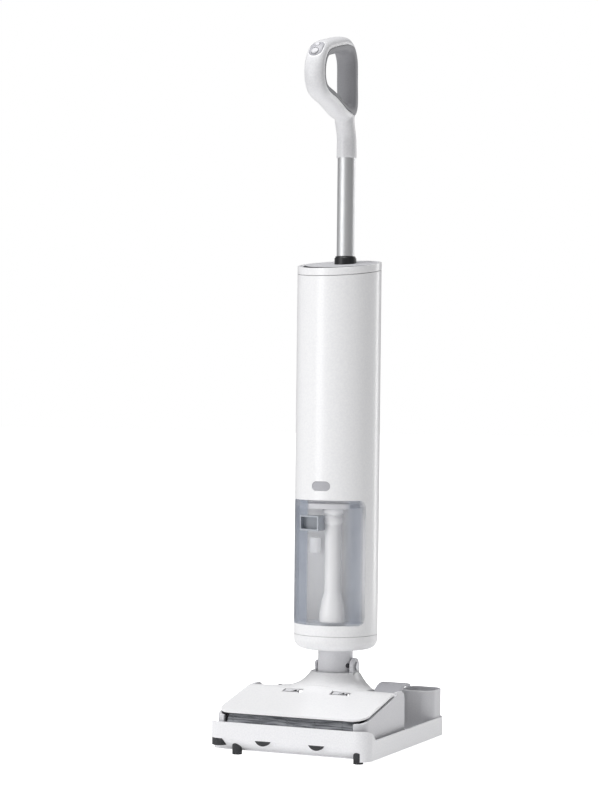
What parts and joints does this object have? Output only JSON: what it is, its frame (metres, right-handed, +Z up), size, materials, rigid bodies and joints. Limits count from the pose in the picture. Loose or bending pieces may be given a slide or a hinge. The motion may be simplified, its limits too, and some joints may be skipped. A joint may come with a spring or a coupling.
{
  "type": "wet dry floor scrubber",
  "caption": "Upright cordless wet and dry floor scrubber with a round body, loop handle, water tanks and driven roller, standing on its charging tray.",
  "frame": {"origin": "middle of the tray's footprint, at the floor under the rubber feet", "axes": "+Z up along the body and tube; -Y to the front, where the roller and the dirty water tank are; +X towards the side of the accessory cup and the drive belt"},
  "size_m": [0.264, 0.336, 1.1089],
  "materials": {
    "white_abs": "satin-gloss moulded",
    "tray_white": "satin moulded",
    "pale_grey": "fine moulded texture",
    "grey_plastic": "fine moulded texture",
    "dark_plastic": "fine moulded texture",
    "display_gloss": "polished",
    "white_part": "polished",
    "smoke_clear": "polished transparent",
    "rubber": "moulded",
    "fleece": "cut microfibre pile",
    "aluminium": "satin anodised",
    "steel": "turned",
    "gold_contact": "plated",
    "cell_wrap": "shrink film",
    "board": "solder mask"
  },
  "bodies": {
    "dock": {"tray_base": "tray_white", "tray_feet": "rubber", "grip_pads": "rubber", "charge_posts": "gold_contact", "power_socket": "dark_plastic"},
    "accessory": {"accessory_cup": "pale_grey"},
    "head": {"head_chassis": "dark_plastic", "neck_cover": "white_abs", "end_plate_left": "grey_plastic", "end_plate_right": "grey_plastic", "wheel_fender": "grey_plastic", "wiper_blade": "rubber", "spray_bar": "pale_grey", "suction_duct": "dark_plastic", "roller_motor": "dark_plastic", "drive_belt": "rubber", "neck_fork": "pale_grey", "tilt_pins": "steel", "head_screws": "steel", "wheel_axles": "steel"},
    "cover": {"roller_cover": "white_abs"},
    "latch_l": {"latch_left": "pale_grey"},
    "latch_r": {"latch_right": "pale_grey"},
    "motor_shaft": {"motor_pulley": "dark_plastic"},
    "roller": {"roller_fleece": "fleece", "roller_core": "white_part", "roller_pulley": "dark_plastic"},
    "wheel_l": {"wheel_left": "grey_plastic", "tyre_left": "rubber"},
    "wheel_r": {"wheel_right": "grey_plastic", "tyre_right": "rubber"},
    "neck": {"neck_tube": "pale_grey", "suction_hose": "rubber"},
    "body": {"body_base": "white_abs", "body_shell": "white_abs", "tank_bay": "pale_grey", "top_rim": "white_abs", "display_panel": "display_gloss", "top_plate": "pale_grey", "tube_collar": "dark_plastic", "battery_pack": "cell_wrap", "suction_motor": "dark_plastic", "motor_seal": "rubber", "control_board": "board", "water_pump": "dark_plastic"},
    "dirty": {"dirty_tank": "smoke_clear", "tank_lid": "pale_grey", "inlet_pipe": "white_part", "tank_grip": "dark_plastic"},
    "float": {"tank_float": "white_part"},
    "clean": {"clean_tank": "smoke_clear", "clean_cap": "grey_plastic"},
    "release": {"release_button": "grey_plastic"},
    "handle": {"handle_tube": "aluminium", "handle_shell": "white_abs", "handle_neck": "white_abs", "handle_grip": "grey_plastic", "button_pad": "pale_grey"},
    "power": {"power_button": "white_part"},
    "wash": {"clean_button": "grey_plastic"}
  },
  "joints": [
    {"name": "lift_off", "type": "slide", "parent": "dock", "child": "head", "axis": [0, 0, 1], "range_m": [0, 0.12]},
    {"name": "accessory_lift", "type": "slide", "parent": "dock", "child": "accessory", "axis": [0, 0, 1], "range_m": [0, 0.09]},
    {"name": "cover_lift", "type": "slide", "parent": "head", "child": "cover", "axis": [0, -0.35, 0.9367], "range_m": [0, 0.04]},
    {"name": "latch_left_slide", "type": "slide", "parent": "cover", "child": "latch_l", "axis": [1, 0, 0], "range_m": [0, 0.0045], "stiffness_N_per_m": 600},
    {"name": "latch_right_slide", "type": "slide", "parent": "cover", "child": "latch_r", "axis": [-1, 0, 0], "range_m": [0, 0.0035], "stiffness_N_per_m": 600},
    {"name": "roller_spin", "type": "hinge", "parent": "head", "child": "roller", "pos_m": [0, -0.132, 0.04], "axis": [1, 0, 0], "continuous": true},
    {"name": "motor_spin", "type": "hinge", "parent": "head", "child": "motor_shaft", "pos_m": [0, -0.06, 0.046], "axis": [1, 0, 0], "continuous": true},
    {"name": "wheel_left_spin", "type": "hinge", "parent": "head", "child": "wheel_l", "pos_m": [0, 0.026, 0.049], "axis": [1, 0, 0], "continuous": true},
    {"name": "wheel_right_spin", "type": "hinge", "parent": "head", "child": "wheel_r", "pos_m": [0, 0.026, 0.049], "axis": [1, 0, 0], "continuous": true},
    {"name": "recline", "type": "hinge", "parent": "head", "child": "neck", "pos_m": [0, 0.018, 0.123], "axis": [-1, 0, 0], "range_deg": [0, 68]},
    {"name": "swivel", "type": "hinge", "parent": "neck", "child": "body", "pos_m": [0, 0.018, 0.15], "axis": [0, 0, 1], "range_deg": [-60, 60]},
    {"name": "dirty_tank_pull", "type": "slide", "parent": "body", "child": "dirty", "axis": [0, -1, 0], "range_m": [0, 0.11]},
    {"name": "float_rise", "type": "slide", "parent": "dirty", "child": "float", "axis": [0, 0, 1], "range_m": [0, 0.04]},
    {"name": "clean_tank_pull", "type": "slide", "parent": "body", "child": "clean", "axis": [0, 1, 0], "range_m": [0, 0.1]},
    {"name": "tank_release_press", "type": "slide", "parent": "body", "child": "release", "axis": [0, 1, 0], "range_m": [0, 0.0022], "stiffness_N_per_m": 800},
    {"name": "handle_pull", "type": "slide", "parent": "body", "child": "handle", "axis": [0, 0, 1], "range_m": [0, 0.05]},
    {"name": "power_press", "type": "slide", "parent": "handle", "child": "power", "axis": [0, 0.7513, -0.66], "range_m": [0, 0.001], "stiffness_N_per_m": 1500},
    {"name": "wash_press", "type": "slide", "parent": "handle", "child": "wash", "axis": [0, 0.7513, -0.66], "range_m": [0, 0.001], "stiffness_N_per_m": 1500}
  ],
  "couplings": [
    {"joint": "motor_spin", "follows": "roller_spin", "ratio": 1.5714}
  ]
}
